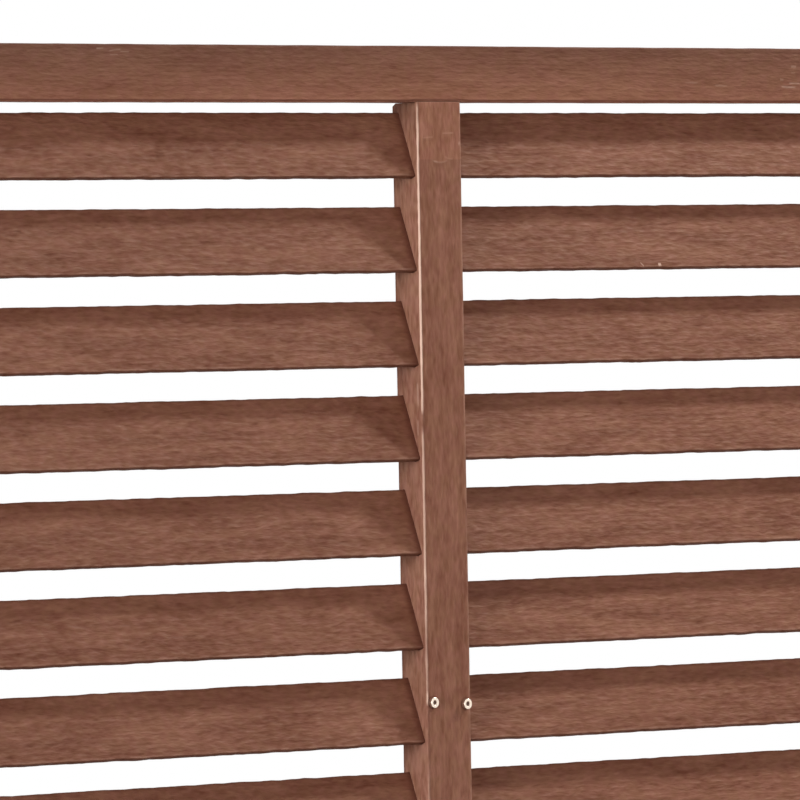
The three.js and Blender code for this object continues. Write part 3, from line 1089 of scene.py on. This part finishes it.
def makeFlatScrew(node):
    low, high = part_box(node)
    centre = middleOf(node)
    head, crown, shank = flatScrew["head"] / 2, flatScrew["crown"] / 2, flatScrew["shank"] / 2
    height, side = flatScrew["height"], flatScrew["side"]
    length = high.y - low.y - height
    outline = [(0, -length), (shank, flatScrew["point"] - length), (shank, 0), (head, 0)]
    for step in range(flatScrew["arrisSteps"] + 1):
        angle = step / flatScrew["arrisSteps"] * math.pi / 2
        outline.append((crown + (head - crown) * math.cos(angle), side + (height - side) * math.sin(angle)))
    outline.append((0, height))
    turn = Matrix.Rotation(math.radians(90), 4, "X")
    face = Matrix.Translation((centre.x, low.y + height, centre.z)) @ turn
    piece = makeObject("flat_" + node, moved(turned(outline, flatScrew["turnSteps"]), face), plated)
    bottom = height - flatScrew["socketDepth"]
    corner = flatScrew["socket"] / math.sqrt(3)
    hexagon = turned([(0, bottom), (corner, bottom), (corner, height * 2), (0, height * 2)], 6)
    boolean(piece, moved(hexagon, face), "DIFFERENCE")
    mouth = flatScrew["socketMouth"] / 2
    slope = [(0, height - mouth), (mouth * 2, height + mouth), (0, height + mouth)]
    boolean(piece, moved(turned(slope, flatScrew["mouthSteps"]), face), "DIFFERENCE")
    paintDarkBrown(piece, low.y)
    shadeByAngle(piece)
    dress(piece, "plated_steel", node)


for name in slatScrewNames:
    makeFlatScrew(name)
print("flat-topped screws made:", len(slatScrewNames))


# Countersunk screws in the rails' outer edges, with a cross recess
sunkScrew = {
    "head": 0.010,
    "rim": 0.0006,
    "cone": 0.0028,
    "shank": 0.005,
    "point": 0.007,
    "recess": 0.005,         # end to end of the cross
    "slot": 0.0011,
    "recessDepth": 0.0022,
    "recessTaper": 0.45,     # how much smaller the cross is at its bottom
    "turnSteps": 40,
}


def makeSunkScrew(node, way):
    low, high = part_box(node)
    centre = middleOf(node)
    length = high.z - low.z
    head, shank, rim = sunkScrew["head"] / 2, sunkScrew["shank"] / 2, sunkScrew["rim"]
    outline = [(0, -length), (shank, sunkScrew["point"] - length), (shank, -rim - sunkScrew["cone"]),
               (head, -rim), (head, 0), (0, 0)]
    face = Matrix.Translation((centre.x, centre.y, high.z if way > 0 else low.z)) @ turnFor(way)
    piece = makeObject("sunk_" + node, moved(turned(outline, sunkScrew["turnSteps"]), face), plated)
    span, slot, depth = sunkScrew["recess"] / 2, sunkScrew["slot"] / 2, sunkScrew["recessDepth"]
    taper = 1 - sunkScrew["recessTaper"]
    for wide, deep in ((span, slot), (slot, span)):
        arm = block((-wide, -deep, -depth), (wide, deep, depth))
        bottom = [vert for vert in arm.verts if vert.co.z < 0]
        bmesh.ops.scale(arm, vec=(taper, taper, 1), verts=bottom)
        boolean(piece, moved(arm, face), "DIFFERENCE")
    shadeByAngle(piece)
    dress(piece, "plated_steel", node)


for name in uprightNames:
    for number in (1, 2):
        makeSunkScrew(f"top_screw_{name}_{number}", 1)
        makeSunkScrew(f"bottom_screw_{name}_{number}", -1)
print("countersunk screws made:", 4 * len(uprightNames))


# Floor, round and fading to white at its rim
floorLook = {
    "radius": 7.0,
    "segments": 96,
    "pale": (0.80, 0.79, 0.78, 1),
    "bounce": (0.36, 0.35, 0.34, 1),     # what other surfaces see of it, so undersides stay dark
    "fadeFrom": 2.2,
    "fadeTo": 5.5,
}


# 1 for what the camera sees, straight or in a reflection
def plainSight(tree):
    path = addNode(tree, "ShaderNodeLightPath")
    seen = maths(tree, "ADD", path.outputs["Is Camera Ray"], path.outputs["Is Glossy Ray"])
    return maths(tree, "ADD", seen, path.outputs["Is Transmission Ray"], clamp=True)


def makeFloor():
    disc = bmesh.new()
    bmesh.ops.create_circle(disc, cap_ends=True, segments=floorLook["segments"], radius=floorLook["radius"])
    material = newMaterial("pale_floor")
    tree = material.node_tree
    seen = plainSight(tree)
    colour = mixColour(tree, seen, floorLook["bounce"], floorLook["pale"])
    matt = addNode(tree, "ShaderNodeBsdfDiffuse", {"Color": colour})
    white = addNode(tree, "ShaderNodeEmission", {"Color": (1, 1, 1, 1), "Strength": 1.0})
    away = addNode(tree, "ShaderNodeVectorMath", {0: objectPlace(tree)}, operation="LENGTH").outputs["Value"]
    rim = maths(tree, "MULTIPLY", remap(tree, away, floorLook["fadeFrom"], floorLook["fadeTo"]), seen)
    mixed = addNode(tree, "ShaderNodeMixShader", {0: rim, 1: matt.outputs[0], 2: white.outputs[0]})
    addNode(tree, "ShaderNodeOutputMaterial", {"Surface": mixed.outputs[0]})
    floor = makeObject("floor", disc, material)


makeFloor()


# Light: a small warm key from the upper right, soft white lamps on three sides, and low light all round
light = {
    "aim": Vector((0, 0, 0.75)),
    "lamps": {
        "key": {"place": Vector((2.17, -0.62, 2.51)), "size": (0.24, 0.10), "watts": 66},
        "side": {"place": Vector((-7.38, -1.50, 1.28)), "size": (1.9, 2.0), "watts": 455},
        "front": {"place": Vector((-0.90, -5.20, 1.75)), "size": (1.6, 1.6), "watts": 74},
        "back": {"place": Vector((1.60, 5.20, 1.10)), "size": (1.8, 1.8), "watts": 190},
    },
    "tints": {"key": (1.0, 0.965, 0.88)},
    "ambient": 0.40,
    "sky": (1.0, 1.02, 1.08, 1),     # tint of the low light
}


def makeLamp(name, settings):
    data = bpy.data.lights.new(name, "AREA")
    data.shape = "RECTANGLE"
    data.size, data.size_y = settings["size"]
    data.energy = settings["watts"]
    data.color = light["tints"].get(name, (1, 1, 1))
    lamp = bpy.data.objects.new(name, data)
    scene.collection.objects.link(lamp)
    turn = (settings["place"] - light["aim"]).to_track_quat("Z", "Y").to_matrix().to_4x4()
    lamp.matrix_world = Matrix.Translation(settings["place"]) @ turn
    lamp.visible_camera = False


def makeWorld():
    world = bpy.data.worlds.new("studio")
    scene.world = world
    world.use_nodes = True
    tree = world.node_tree
    tree.nodes.clear()
    seen = plainSight(tree)
    strength = remap(tree, seen, 0.0, 1.0, light["ambient"], 1.0, smooth=False)
    colour = mixColour(tree, seen, light["sky"], (1, 1, 1, 1))
    background = addNode(tree, "ShaderNodeBackground", {"Color": colour, "Strength": strength})
    addNode(tree, "ShaderNodeOutputWorld", {"Surface": background.outputs[0]})


for name, settings in light["lamps"].items():
    makeLamp(name, settings)
makeWorld()
scene.view_settings.view_transform = "Standard"
print("light and floor made")
